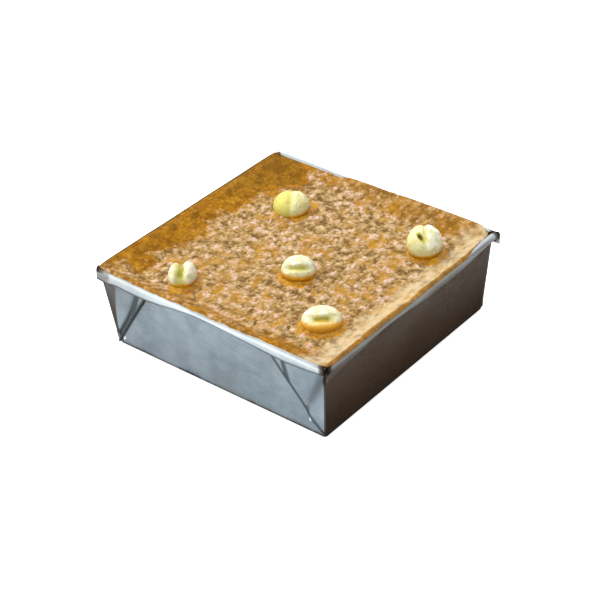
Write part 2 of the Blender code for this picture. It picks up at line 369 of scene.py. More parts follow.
for vert in wall_verts:
    vert.co += SIDES[side_of(vert.co)[0]][1] * wall_swell(vert.co)
roots = [[edge for edge in bm.edges if tops_wall(edge, out)] for _, out in SIDES]
for side, root in enumerate(roots):
    add_hem(bm, side, root, painted_shade)
corner_shade_at = RIM_HALF - CORNER_SHADE_INSET
for vert in bm.verts:
    side, share = side_of(vert.co)
    sagging = smooth_step((vert.co.z / ROLL_START - RIM_SAG_FROM) / RIM_SAG_FADE)
    vert.co.z -= rim_sag(side, share) * sagging
    # The right wall, which faces away from the key light, is painted darker towards its foot, a painted shade
    # and dark reflection; the other walls get a faint, even share.
    wall_shade = 1 - RIGHT_WALL_CLEARING * vert.co.z / HEIGHT if side == 1 else LEAST_WALL_SHADE
    vert[painted_shade] = max(vert[painted_shade], wall_shade)
    for x_sign, y_sign, radius, strength in SHADED_CORNERS:
        corner = Vector((x_sign * corner_shade_at, y_sign * corner_shade_at, HEIGHT - CORNER_SHADE_DROP))
        vert[painted_shade] = max(vert[painted_shade], strength * smooth_step(3 * (1 - (vert.co - corner).length / radius)))
bmesh.ops.recalc_face_normals(bm, faces=bm.faces)

TIN_BRIGHT = shade(214, 218, 220)
TIN_DULL = shade(186, 192, 196)
TIN_BROWNED = shade(160, 146, 130)
TIN_SHADE = shade(104, 94, 84)
TIN_DEEP_SHADE = shade(56, 50, 46)
TIN_CREASE_SHADE = shade(118, 126, 128)
TIN_MOTTLE_SIZE = 0.014
RUB_SIZE = 0.0007
RUB_STRETCH = (0.07, 0.07, 1)
SMUDGE_SIZE = 0.035
RIPPLE_SIZE = 0.006
CONTACT_SHADE_FULL = 0.0006
CONTACT_SHADE_END = 0.0024
CONTACT_SHADE_WANDER = 0.0030

tin_material, shader, finish = principled("tinned_sheet", Metallic=1.0)
mottle = finish.noise(TIN_MOTTLE_SIZE, 5, 0.65)
rubbed = finish.noise(RUB_SIZE, 3, 0.6, finish.stretched(*RUB_STRETCH))
smudge = finish.noise(SMUDGE_SIZE, 3).rise(0.50, 0.72)
colour = finish.mix((mottle * 0.75 + rubbed * 0.25).rise(0.32, 0.68), TIN_DULL, TIN_BRIGHT)
colour = finish.mix(smudge * 0.3, colour, TIN_BROWNED)
# Shade is painted into the colour from that layer, deepest where it passes 1.
painted_shade = finish.attribute("painted_shade")
colour = finish.mix((painted_shade + mottle * 0.5 - 0.25).rise(0.25, 1.1), colour, TIN_SHADE)
colour = finish.mix((painted_shade + mottle * 0.4 - 0.2).rise(1.0, 1.9), colour, TIN_DEEP_SHADE)
# Painted shade darkens the lines along the flaps' folds, groove and crease, and round each pinch.
grime = finish.attribute("grime")
colour = finish.mix((grime + mottle * 0.4 - 0.2).rise(0.1, 1.0), colour, TIN_CREASE_SHADE)
# A painted contact shadow darkens the sheet up to about two millimetres above the table.
up = finish.node("SeparateXYZ", None, {"Vector": finish.place}, output=2)
contact_shade = 1 - (up + (mottle - 0.5) * CONTACT_SHADE_WANDER).rise(CONTACT_SHADE_FULL, CONTACT_SHADE_END)
colour = finish.mix(contact_shade, colour, TIN_DEEP_SHADE)
finish.feed(
    shader,
    Base_Color=colour,
    Roughness=0.17 + 0.16 * mottle + 0.08 * rubbed + 0.3 * contact_shade + 0.3 * painted_shade.rise(0.9, 1.8),
    Normal=finish.bump(rubbed * 0.25 + finish.noise(RIPPLE_SIZE, 2), 0.00007),
)

tin = piece_from(bm, "tin_sheet", tin_material)
thickness = tin.modifiers.new("Thickness", "SOLIDIFY")
thickness.thickness = SHEET
thickness.offset = 0
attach(tin, "root")
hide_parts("tin")

# The corner flaps are the spare corners of the same sheet, doubled into triangles and folded flat onto the
# walls across Y, with their tops caught under the hem. Hammered down by hand, each has a beaded fold, a
# groove behind it, a ridge where the corner turns, and a dented crease.

FLAP_THICKNESS = 0.0009
FLAP_FOOT_HEIGHT = 0.0011
FLAP_TOP = HEIGHT - 0.0032
FLAP_EDGE_ROUND = 0.0007
FLAP_STEPS_ACROSS = 96
FLAP_STEPS_UP = 76
FLAP_CROWDING = 1.2
FLAP_SINK = 0.0002
FLAP_MARGIN = 0.0016
FLAP_BURIED = 0.00008
FLAP_LEAST = 0.0002
FLAP_EDGE_BLUNT = 0.0003
FOLD_STEP = 0.00004
TUCKED_FOOT_FROM = 0.0008
TUCKED_FOOT_HEIGHT = 0.0045
SWELL_FROM = 0.4
SWELL_FADE = 0.55
BEAD_INSET = 0.0006
BEAD_HEIGHT = 0.0005
BEAD_WIDTH = 0.00065
GROOVE_WIDTH = 0.0013
RIDGE_FALL = 0.012
FACET_SHADE = 0.55
FOLD_SHADE_WIDTH = 0.0013
PLY_SHADE_WIDTH = 0.0014
PLY_PARTS_AT = 0.62
CREASE_WIDTH = 0.0040
CREASE_SLANT = 0.0151
CREASE_SLANTS_AT = 0.39
CREASE_SHADE_WIDTH = 0.0012
CREASE_SHADE_WIDENING = 0.0028
CREASE_SHADE_FROM = 0.15
CREASE_SHADE_FADE = 0.35
PUCKER_WIDTH = 0.0011
PUCKER_TALLNESS = 0.0022
PUCKER_SHADE_WIDTH = 0.0022
PUCKER_SHADE_TALLNESS = 0.0034

# Lengths along the wall go in pairs, at the foot and at the rim: the fold's distance from the corner, the
# groove's or the second ply's from the fold, and the ridge's from the corner. The bulge takes the flap's top
# past the wall's corner, the bow bends the fold, the fold's slope is how wide its edge rises, and the next
# field is how far in from the fold the painted shade along it lies. A facet is the share of the flap's
# thickness that leans away to the corner, and that facet is painted darker, a painted reflection of the dark
# room. The crease runs straight up from the foot at its distance from the corner, then slants to the corner,
# and the swell brings the flap's top out to the hem. The pucker is a small pinch at the foot: its distance
# from the corner, its height, and how far it stands off.
Flap = namedtuple(
    "Flap",
    "x_sign y_sign bulge fold bow slope grime_at pucker ridge ridge_height facet groove groove_depth ply"
    " ply_height crease crease_height swell",
    defaults=(0, 0, (0, 0), 0, (0, 0), 0, 0, 0, 0),
)
FLAPS = (
    Flap(
        x_sign=-1, y_sign=-1, bulge=0.0030, fold=(0.0010, 0.0283), bow=-0.0002, slope=0.0005, grime_at=0.0003,
        pucker=(0.0042, 0.0024, 0.0008), ridge=(0.0040, 0.0125), ridge_height=0.0013, facet=0.8,
        groove=(0.0018, 0.0080), groove_depth=0.0013,
    ),
    Flap(
        x_sign=1, y_sign=-1, bulge=0.0004, fold=(0.0008, 0.0327), bow=0.0, slope=0.0009, grime_at=0.0017,
        pucker=(0.0075, 0.0066, 0.0009), ridge=(0.0010, 0.0050), ply=(0.0007, 0.0086), ply_height=0.0005,
        crease=0.0082, crease_height=0.0007, swell=0.0004,
    ),
    Flap(
        x_sign=1, y_sign=1, bulge=0.0, fold=(0.0018, 0.0275), bow=0.0015, slope=0.0004, grime_at=0.0003,
        pucker=(0.0045, 0.0030, 0.0003), ridge=(0.0020, 0.0100), ridge_height=0.0007, facet=0.6,
        groove=(0.0026, 0.0050), groove_depth=0.0006,
    ),
    Flap(
        x_sign=-1, y_sign=1, bulge=0.0012, fold=(0.0016, 0.0275), bow=0.0006, slope=0.0010, grime_at=0.0012,
        pucker=(0.0060, 0.0050, 0.0004), ridge=(0.0020, 0.0080), ridge_height=0.0004, facet=0.3,
        ply=(0.0008, 0.0060), ply_height=0.0005, crease=0.0070, crease_height=0.0005, swell=0.0003,
    ),
)


def hump(distance, width):
    return math.exp(-((distance / width) ** 2))


def flap_relief(flap, to_fold, to_corner, rise, z):
    """What a flap is like at its distances from the fold and the corner: how far it stands off the wall, how
    much painted shade lies there, in the folds, the groove and the crease, and how much on the facet that
    leans away, where it stands for a dark reflection."""
    def along(pair, share):
        return pair[0] + (pair[1] - pair[0]) * share

    open_part = smooth_step(rise * 5)
    grime, painted_shade = hump(to_fold - flap.grime_at, FOLD_SHADE_WIDTH), 0.0
    ridge_at = along(flap.ridge, rise ** 2)
    to_ridge = to_corner / ridge_at if to_corner < ridge_at else math.exp((ridge_at - to_corner) / RIDGE_FALL)
    lift = FLAP_THICKNESS * (1 - open_part * flap.facet * (1 - min(1, to_corner / ridge_at)))
    lift += flap.ridge_height * open_part * to_ridge
    lift += flap.swell * smooth_step((rise - SWELL_FROM) / SWELL_FADE)
    if flap.groove_depth:
        groove = hump(to_fold - along(flap.groove, rise ** 3), GROOVE_WIDTH)
        bead = hump(to_fold - BEAD_INSET - 0.7 * flap.slope, BEAD_WIDTH)
        lift += open_part * (BEAD_HEIGHT * bead - flap.groove_depth * groove)
        grime = max(grime, groove)
        # The facet that leans away to the corner is painted darker, a painted reflection of the dark room.
        painted_shade = FACET_SHADE * open_part * smooth_step(2.5 * (1.2 - to_corner / ridge_at))
    if flap.ply_height:
        ply_at = along(flap.ply, max((rise - PLY_PARTS_AT) / (1 - PLY_PARTS_AT), 0))
        second = smooth_step((to_fold - ply_at) / flap.slope)
        lift += flap.ply_height * (second - 1) * smooth_step(rise * 4)
        grime = max(grime, hump(to_fold - ply_at - flap.grime_at, PLY_SHADE_WIDTH))
    if flap.crease_height:
        crease_at = min(flap.crease, flap.crease + CREASE_SLANT * (CREASE_SLANTS_AT - rise))
        into = smooth_step((crease_at + CREASE_WIDTH / 2 - to_corner) / CREASE_WIDTH)
        lift += flap.crease_height * into * smooth_step(to_corner / max(0.9 * crease_at, 0.001)) * open_part
        creased = hump(to_corner - crease_at, CREASE_SHADE_WIDTH + CREASE_SHADE_WIDENING * rise)
        creased *= smooth_step((rise - CREASE_SHADE_FROM) / CREASE_SHADE_FADE)
        grime = max(grime, (0.5 + 0.3 * rise) * creased)
    edge = min(1.0, (to_corner + FLAP_EDGE_BLUNT) / FLAP_EDGE_ROUND)
    foot = smooth_step((z - TUCKED_FOOT_FROM) / TUCKED_FOOT_HEIGHT) if flap.ply_height else 1.0
    lift = max(lift, FLAP_LEAST) * math.sqrt(1 - (1 - edge) ** 2) * foot
    return lift * smooth_step((to_fold + FOLD_STEP) / flap.slope), grime, painted_shade


def shape_flap(bm, flap, grime, painted_shade):
    """Lays a fine grid over the flap's place, shapes it, and sinks its rim into the wall."""
    start = len(bm.verts)
    bmesh.ops.create_grid(bm, x_segments=FLAP_STEPS_ACROSS, y_segments=FLAP_STEPS_UP, size=1)
    bm.verts.ensure_lookup_table()
    for vert in bm.verts[start:]:
        across, rise = (vert.co.x + 1) / 2, (vert.co.y + 1) / 2
        z = FLAP_FOOT_HEIGHT + (FLAP_TOP - FLAP_FOOT_HEIGHT) * rise
        fold_foot, fold_top = wall_half(FLAP_FOOT_HEIGHT) - flap.fold[0], wall_half(FLAP_TOP) - flap.fold[1]
        fold = fold_foot + (fold_top - fold_foot) * rise - 4 * flap.bow * rise * (1 - rise)
        corner = wall_half(z) + flap.bulge * rise
        x = fold - FLAP_MARGIN + (corner - fold + FLAP_MARGIN) * across ** FLAP_CROWDING
        off, dark, vert[painted_shade] = flap_relief(flap, x - fold, corner - x, rise, z)
        off += wall_swell(Vector((flap.x_sign * x, flap.y_sign * wall_half(z), z)))
        pinch_x, pinch_z, pinch = flap.pucker
        aside, above = corner - x - pinch_x, z - pinch_z
        pinched = hump(aside, PUCKER_WIDTH) * hump(above, PUCKER_TALLNESS)
        off += pinch * pinched - FLAP_BURIED
        # Painted shade lies in the folds and round the pinch, but not on the pinch itself.
        near_pinch = hump(aside, PUCKER_SHADE_WIDTH) * hump(above, PUCKER_SHADE_TALLNESS)
        vert[grime] = max(dark, near_pinch) * (1 - pinched)
        vert.co = (flap.x_sign * x, flap.y_sign * (wall_half(z) + SHEET / 2 + off), z)
    rim = [edge for edge in bm.edges if edge.is_boundary and edge.verts[0].index >= start]
    verts, rim = grow(bm, rim)
    for vert in verts:
        vert.co.y = flap.y_sign * (wall_half(vert.co.z) + wall_swell(vert.co) - FLAP_SINK)
    bmesh.ops.contextual_create(bm, geom=rim)


bm = bmesh.new()
# The flaps carry painted shade too, in their creases and on their leaning facets.
grime, painted_shade = (bm.verts.layers.float.new(name) for name in ("grime", "painted_shade"))
for flap in FLAPS:
    shape_flap(bm, flap, grime, painted_shade)
bmesh.ops.recalc_face_normals(bm, faces=bm.faces)
folds = piece_from(bm, "tin_corner_folds", tin_material)
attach(folds, "root")

# The custard is eggs, coconut milk and palm sugar, baked in the tin until its top is a browned, pebbly
# crust. It has sunk in the middle, so it climbs to the walls, and it has baked on over the left hem and
# part of the others. Round each seed it is drawn up in a collar, amber partly from syrup and partly from
# painted shadow and reflected glow at the seed's foot.

GAP = 0.0003
CUSTARD_STEPS = 298
CUSTARD_MIDDLE = 0.0382
CUSTARD_EDGE = 0.0411
CUSTARD_CORNER_RADIUS = 0.0048
BARE_CORNER_ROUNDING = 0.8
CORNER_ROUNDING = 0.15
CORNER_SHARPNESS = 16
EDGE_BAND_LEFT = 0.0140
EDGE_BAND_RIGHT = 0.0085
EDGE_BAND_FRONT = 0.0070
EDGE_BAND_BACK = 0.0100
LUMP_SIZE = 0.0090
LUMP_HEIGHT = 0.0006
CLOT_SIZE = 0.0046
CLOT_HEIGHT = 0.0007
PEBBLE_SIZE = 0.0023
PEBBLE_HEIGHT = 0.00054
PEBBLE_WARP = 0.0013
WARP_SIZE = 0.0024
WARP_SEED = 3
CRUMB_SIZE = 0.0013
CRUMB_HEIGHT = 0.00026
CURD_VARIETY = 2.3
CURD_SPREAD = 1.25
CURD_LEAST = 0.65
WRINKLE_HEIGHT = 0.00025
WRINKLE_LENGTH = 0.005
WRINKLE_WIDTH = 0.0014
EDGE_CALM = 0.25
PALE_CALM = 0.15
BAND_CALM = 0.2
AMBER_CALM = 0.6
COLLAR_WIDTH = 0.0022
COLLAR_HEIGHT = 0.0008
AMBER_WIDTH = 0.0034
AMBER_RUN = 0.65
AMBER_WANDER = 0.8
AMBER_WANDER_SIZE = 0.0045
AMBER_FADE_LEAST = 0.0008
FILM = 0.00030
ROLL_REACH = 1.7
RIM_CLEARANCE = 0.0002
CUSTARD_REACH = (0.0641, 0.0646, 0.0643, 0.0648)  # front, right, back, left
CUSTARD_RAGGED = (0.0003, 0.0003, 0.0005, 0.0001)
RAGGED_SIZE = 0.006
RAGGED_FINE_SIZE = 0.0022
FRONT_LAP = 0.0004
BACK_LAP = 0.0007
OVERFLOW_WIDTH = 0.0050
OVERFLOW_CLIMB = 1.15
LIP_DROP = 0.0001
LIP_SAG = 0.3
LIP_THICKNESS = (0.8, 2.0)
SKIRT_DEPTH = 0.0012
WANDER_SIZE = 0.011
WANDER_FINE_SIZE = 0.004
PALE_STRIP = 0.0130
PALE_STRIP_FADE = 0.007
PALE_STRIP_WANDER = 0.003
LEFT_BAND = 0.0170
LEFT_BAND_FADE = 0.0130
LEFT_BAND_WANDER = 0.0080
LEFT_BAND_SHIFT = 0.002
BURNT_FROM = 0.0631
BURNT_WANDER = 0.0006
BURNT_SHARE = 0.6
BACK_BAND = 0.0080
BACK_BAND_WANDER = 0.0050
BACK_BROWNING = 0.54
FRONT_BAND = 0.0085
FRONT_BAND_WANDER = 0.0040
BAND_END = 1.30
LIP_FROM = 0.0004
LIP_WANDER = 0.0010
LIP_FADE = 0.0010
LIP_BROWNING = 1.08
INSIDE_HALF = wall_half(CUSTARD_EDGE) - SHEET / 2

# Each seed's place, its turn in degrees, its size, how far its middle lies above the custard, and its lean;
# then how far over from the seed's top its cleft lies, in degrees, the cleft's width, its share of the depth,
# how far it reaches towards the seed's ends and how green it is; the way the amber of syrup and painted
# shadow runs, in degrees, and how far it reaches up the seed; how yellow the two lobes are; and how deep the
# hollow beside the cleft is.
Seed = namedtuple(
    "Seed",
    "name x y turn length width height lift lean split cleft_width cleft_depth cleft_reach green syrup soak"
    " yellow_near yellow_far hollow",
    defaults=(0,),
)
SEEDS = (
    Seed(
        name="lotus_seed_left", x=-0.0301, y=-0.0455, turn=126, length=0.0168, width=0.0128, height=0.0130,
        lift=0.0024, lean=-4, split=-4, cleft_width=0.0021, cleft_depth=0.46, cleft_reach=1.3, green=1.0,
        syrup=-5, soak=0.0024, yellow_near=0.0, yellow_far=0.1,
    ),
    Seed(
        name="lotus_seed_centre", x=0.0089, y=-0.0121, turn=36, length=0.0155, width=0.0152, height=0.0128,
        lift=0.0024, lean=-14, split=60, cleft_width=0.0014, cleft_depth=0.28, cleft_reach=0.95, green=0.6,
        syrup=-70, soak=0.0036, yellow_near=0.3, yellow_far=0.0,
    ),
    Seed(
        name="lotus_seed_right", x=0.0431, y=0.0360, turn=128, length=0.0174, width=0.0162, height=0.0164,
        lift=0.0044, lean=-6, split=6, cleft_width=0.0012, cleft_depth=0.12, cleft_reach=1.2, green=0.3,
        syrup=-10, soak=0.0028, yellow_near=0.0, yellow_far=0.4, hollow=0.5,
    ),
    Seed(
        name="lotus_seed_front", x=0.0407, y=-0.0363, turn=40, length=0.0178, width=0.0154, height=0.0120,
        lift=0.0016, lean=4, split=36, cleft_width=0.0018, cleft_depth=0.34, cleft_reach=0.85, green=0.9,
        syrup=-50, soak=0.0044, yellow_near=0.1, yellow_far=0.1,
    ),
    Seed(
        name="lotus_seed_back", x=-0.0280, y=0.0291, turn=124, length=0.0176, width=0.0172, height=0.0130,
        lift=0.0022, lean=0, split=0, cleft_width=0.0016, cleft_depth=0.10, cleft_reach=1.2, green=0.2,
        syrup=35, soak=0.0024, yellow_near=0.45, yellow_far=0.9,
    ),
)


def edge_rise(x, y):
    """How far the custard has climbed from its middle, 0, towards its edge, 1."""
    bands = (
        (INSIDE_HALF + x, EDGE_BAND_LEFT),
        (INSIDE_HALF - x, EDGE_BAND_RIGHT),
        (INSIDE_HALF + y, EDGE_BAND_FRONT),
        (INSIDE_HALF - y, EDGE_BAND_BACK),
    )
    flat = 1.0
    for distance, band in bands:
        flat *= smooth_step(distance / band)
    return 1 - flat


def custard_level(x, y):
    return CUSTARD_MIDDLE + (CUSTARD_EDGE - CUSTARD_MIDDLE) * edge_rise(x, y)


def nearest_seed(x, y):
    """How far a point lies outside the nearest seed, and how much it faces the way that seed's syrup and
    painted shadow run.
    """
    best = (1.0, 0.0)
    for seed in SEEDS:
        offset = Vector((x - seed.x, y - seed.y))
        turn, syrup = math.radians(seed.turn), math.radians(seed.syrup)
        along = offset.x * math.cos(turn) + offset.y * math.sin(turn)
        across = offset.y * math.cos(turn) - offset.x * math.sin(turn)
        size = math.hypot(2 * along / seed.length, 2 * across / seed.width)
        distance = (size - 1) * (seed.length + seed.width) / 4
        if distance < best[0]:
            facing = (offset.x * math.cos(syrup) + offset.y * math.sin(syrup)) / max(offset.length, 1e-6)
            best = (distance, facing)
    return best


def pebbled(place):
    """Curds, packed close and unlike: the height from 0 to 1, and a value of each curd's own from 0 to 1."""
    warped = place + PEBBLE_WARP * noise.noise_vector(place / WARP_SIZE)
    distances, points = noise.voronoi(warped / PEBBLE_SIZE)
    own = min(max(0.5 + noise.noise(points[0] * CURD_VARIETY), 0), 1)
    dome = 1 - (distances[0] / distances[1]) ** 2
    return smooth_step(CURD_SPREAD * dome) * (CURD_LEAST + (1 - CURD_LEAST) * own), own


def hem_top(out):
    """The height of the hem's upper surface, for a distance out from the tin's middle."""
    roll, shoulder = bend_middles()
    offset = out - TOP_HALF
    on_roll = offset < roll.x * ROLL_REACH
    middle, radius = (roll, ROLL_RADIUS) if on_roll else (shoulder, SHOULDER_RADIUS)
    return ROLL_START + middle.y + math.sqrt(max((radius + SHEET / 2) ** 2 - (offset - middle.x) ** 2, 0.0))


def browned_left(x, y, wander):
    """The widest band: narrow by the front, wider and darker far back, and burnt where it is on the hem."""
    at_front, far_back = smooth_step((-y - 0.035) / 0.028), smooth_step((y - 0.020) / 0.035)
    band = LEFT_BAND * (1 - 0.5 * at_front + 0.7 * far_back)
    inset = INSIDE_HALF + x - LEFT_BAND_WANDER * wander
    browned = smooth_step((band + LEFT_BAND_SHIFT - inset) / LEFT_BAND_FADE)
    browned *= 1 + 0.20 * smooth_step((y - 0.005) / 0.030)
    return browned + BURNT_SHARE * smooth_step((-x - BURNT_FROM + BURNT_WANDER * wander) / LIP_FADE)


def browned_back(x, y, wander):
    """A lighter band, widest behind the right seed."""
    band = BACK_BAND * (1 + 0.9 * hump(x - 0.028, 0.016))
    return BACK_BROWNING * smooth_step(BAND_END - (INSIDE_HALF - y + BACK_BAND_WANDER * wander) / band)


def browned_front(x, y, wander):
    """A band that is darker towards the near corner."""
    browned = smooth_step(BAND_END - (INSIDE_HALF + y + FRONT_BAND_WANDER * wander) / FRONT_BAND)
    return browned * (0.56 + 0.30 * smooth_step((x - 0.010) / 0.030))


def crust(x, y):
    """The custard's top at a place: its height, and what its colour follows."""
    place = Vector((x, y, 0))
    climb = edge_rise(x, y)
    wander = noise.noise(place / WANDER_SIZE) + 0.5 * noise.noise(place / WANDER_FINE_SIZE)
    plain = smooth_step((x - INSIDE_HALF + PALE_STRIP + PALE_STRIP_WANDER * wander) / PALE_STRIP_FADE)
    lip = smooth_step((x - INSIDE_HALF - LIP_FROM + LIP_WANDER * wander) / LIP_FADE)
    front = browned_front(x, y, wander) * (1 - 0.5 * plain)
    band = max(browned_left(x, y, wander), browned_back(x, y, wander), front, LIP_BROWNING * lip)
    calm = (1 - EDGE_CALM * climb) * (1 - PALE_CALM * plain) * (1 - BAND_CALM * min(band, 1))
    lumps = LUMP_HEIGHT * noise.noise(place / LUMP_SIZE)
    clots = noise.noise(place / CLOT_SIZE + UP * 7)
    pebble, own = pebbled(place)
    # Round each seed: a raised collar, and an amber share that is partly syrup and partly painted shadow and
    # reflected glow at the seed's foot.
    collar_distance, syrup_and_shadow_side = nearest_seed(x, y)
    collar = 1 - smooth_step(collar_distance / COLLAR_WIDTH)
    soaked = AMBER_WANDER * noise.noise(place / AMBER_WANDER_SIZE + UP * 11)
    soak = AMBER_WIDTH * (1 - AMBER_RUN + AMBER_RUN * syrup_and_shadow_side + soaked)
    amber = 1 - smooth_step((collar_distance - 0.3 * soak) / max(1.1 * soak, AMBER_FADE_LEAST))
    crumbs = noise.noise(place / CRUMB_SIZE + UP * 3)
    grain = CLOT_HEIGHT * clots + PEBBLE_HEIGHT * (pebble - 0.5) + CRUMB_HEIGHT * crumbs
    grain *= calm * (1 - AMBER_CALM * amber)
    wrinkle = WRINKLE_HEIGHT * plain * noise.noise(Vector((x / WRINKLE_LENGTH, y / WRINKLE_WIDTH, 3)))
    level = custard_level(x, y) + lumps * (1 - EDGE_CALM * climb) + grain + wrinkle + COLLAR_HEIGHT * collar
    return level, {
        "relief": min(max(0.12 + 0.62 * pebble + 0.35 * clots + 0.2 * crumbs, 0), 1),
        "own": own,
        "band": band,
        "plain": plain * (1 - 0.85 * lip),
        "amber": amber,
    }


def round_corner(x, y, half, radius):
    """Draws the corner of a square plan in to a round one, and leaves the rest almost where it was."""
    share = (abs(x) * abs(y) / half ** 2) ** CORNER_SHARPNESS
    pull = 1 - share * radius * (1 - math.sqrt(0.5)) / half
    return x * pull, y * pull


def ragged_reach(side, place):
    """How far the baked-on edge of the custard runs out over one side's hem: it leaves two corners bare."""
    ragged = noise.noise(Vector((place / RAGGED_SIZE, side * 5.0, 0)))
    ragged += 0.6 * noise.noise(Vector((place / RAGGED_FINE_SIZE, side * 9.0, 0)))
    held = CUSTARD_REACH[side] + CUSTARD_RAGGED[side] * ragged
    if side == 0:
        held += FRONT_LAP * (0.5 - smooth_step((place + 0.010) / 0.060))
    if side == 2:
        held += BACK_LAP * smooth_step((0.005 - place) / 0.030)
    bare = {
        1: smooth_step((place - 0.036) / 0.020),
        2: smooth_step((place - 0.012) / 0.012) + smooth_step((-place - 0.056) / 0.004),
    }.get(side, 0.0)
    return min(held, RIM_HALF - RIM_CLEARANCE) - min(bare, 1.0) * max(held - INSIDE_HALF, 0)


def overflow(side, place):
    """How much the crust has set as a blunt lip over one side's hem: all of the left, and half the back."""
    return {3: 1.0, 2: smooth_step((0.010 - place) / 0.030)}.get(side, 0.0)


# The vector noise that warps the curds starts from a seed, so that every run bakes the same custard.
noise.seed_set(WARP_SEED)
bm = bmesh.new()
bmesh.ops.create_grid(bm, x_segments=CUSTARD_STEPS, y_segments=CUSTARD_STEPS, size=1)
marks = {name: bm.verts.layers.float.new(name) for name in ("relief", "own", "band", "plain", "amber")}
for vert in bm.verts:
    u, v = vert.co.x, vert.co.y
    x = u * (ragged_reach(1, v * INSIDE_HALF) if u > 0 else ragged_reach(3, -v * INSIDE_HALF))
    y = v * (ragged_reach(2, -u * INSIDE_HALF) if v > 0 else ragged_reach(0, u * INSIDE_HALF))
    rounding = BARE_CORNER_ROUNDING if x > 0 and y > 0 else CORNER_ROUNDING
    x, y = round_corner(x, y, INSIDE_HALF, CUSTARD_CORNER_RADIUS * rounding)
    level, found = crust(x, y)
    out = max(abs(x), abs(y))
    place = Vector((x, y, 0))
    side, share = side_of(place)
    climbing = smooth_step((out - INSIDE_HALF + OVERFLOW_WIDTH) / (OVERFLOW_CLIMB * OVERFLOW_WIDTH))
    lip_top = HEIGHT - LIP_DROP - LIP_SAG * rim_sag(side, share)
    level += max(lip_top - level, 0) * climbing * overflow(side, place.dot(SIDES[side][0]))
    if out > INSIDE_HALF - FILM:
        level = max(level, hem_top(out) - rim_sag(side, share) + FILM * 1.1)
    vert.co = (x, y, level)
    for name, layer in marks.items():
        vert[layer] = found[name]
rim = [edge for edge in bm.edges if edge.is_boundary]
verts, rim = grow(bm, rim)
for vert in verts:
    side = side_of(vert.co)[0]
    thin, thicker = LIP_THICKNESS
    vert.co.z -= FILM * (thin + thicker * overflow(side, vert.co.dot(SIDES[side][0])))
verts, rim = grow(bm, rim)
for vert in verts:
    out = max(abs(vert.co.x), abs(vert.co.y))
    fit = (INSIDE_HALF - GAP) / out
    vert.co = (vert.co.x * fit, vert.co.y * fit, ROLL_START - SKIRT_DEPTH)
half = INSIDE_HALF - GAP
for z, draw_in in ((SHEET + GAP + BEND_RADIUS, 0.0), (SHEET + GAP, BEND_RADIUS)):
    verts, rim = grow(bm, rim)
    next_half = wall_half(z) - SHEET / 2 - GAP - draw_in
    for vert in verts:
        vert.co = (vert.co.x * next_half / half, vert.co.y * next_half / half, z)
    half = next_half
bmesh.ops.contextual_create(bm, geom=rim)
bmesh.ops.recalc_face_normals(bm, faces=bm.faces)

CURD_PINK = shade(207, 175, 165)
CURD_CREAM = shade(197, 170, 114)
CURD_BROWN = shade(162, 130, 82)
CURD_VALLEY_SHADE = shade(108, 80, 42)
CURD_BEIGE_AND_SHEEN = shade(184, 169, 148)
SPOT_AMBER = shade(170, 122, 34)
BAND_LIGHT = shade(178, 126, 28)
BAND_MIDDLE = shade(156, 104, 0)
BAND_DARK = shade(120, 76, 0)
BAND_BURNT = shade(92, 66, 6)
SYRUP_AND_SHADOW_LIGHT = shade(184, 130, 12)
SYRUP_AND_SHADOW_DARK = shade(146, 94, 4)
FINE_SIZE = 0.0013
MOTTLE_SIZE = 0.0038
SPOT_SIZE = 0.0048
PATCH_SIZE = 0.011

custard_material, shader, finish = principled("baked_custard", Coat_Roughness=0.2, Specular_IOR_Level=0.15)
relief = finish.attribute("relief")
own = finish.attribute("own")
band = finish.attribute("band")
plain = finish.attribute("plain")
amber = finish.attribute("amber")
fine = finish.noise(FINE_SIZE, 1.5, 0.5)
patch = finish.noise(PATCH_SIZE, 2.5, 0.6)
spots = finish.noise(SPOT_SIZE, 1.5, 0.5)
mottle = finish.noise(MOTTLE_SIZE, 2, 0.55)
# The crust's colour follows its curds and its mottle: the hollows between curds are painted darker, a painted
# shade, and the tops paler and pinker, a painted sheen; the mottle is the crust's own uneven colour.
height = relief * 0.60 + mottle * 1.8 + fine * 0.2 + patch * 0.3 - 1.00
top = finish.mix((own * 0.4 + mottle * 0.5 + patch * 0.8).rise(0.60, 1.05), CURD_CREAM, CURD_PINK)
colour = finish.mix(height.rise(0.05, 0.45), CURD_VALLEY_SHADE, CURD_BROWN)
colour = finish.mix(height.rise(0.35, 0.85), colour, top)
stain = (spots * 0.35 + patch * 0.65).rise(0.47, 0.66) * (1.0 - 0.55 * height)
colour = finish.mix(stain, colour, SPOT_AMBER)
orange = finish.mix((spots * 0.6 + fine * 0.4 + relief * 0.2).rise(0.40, 0.75), BAND_DARK, BAND_MIDDLE)
orange = finish.mix((patch * 0.5 + height * 0.4 + fine * 0.1).rise(0.42, 0.80) * 0.8, orange, BAND_LIGHT)
share = (band + (patch - 0.5) * 0.9 * band.rise(0.0, 0.4)) * (1.25 - 0.35 * height)
colour = finish.mix(share.rise(0.0, 1.0), colour, orange)
colour = finish.mix(band.rise(1.0, 1.5), colour, BAND_BURNT)
# The smooth strip by the right wall is paler beige: partly its own colour, partly a painted sheen on its
# smoother crust.
pale_and_sheen = plain * (mottle * 1.6 - 0.15)
colour = finish.mix(pale_and_sheen, colour, finish.mix(patch * 0.6 + fine * 0.4, CURD_BEIGE_AND_SHEEN, CURD_CREAM))
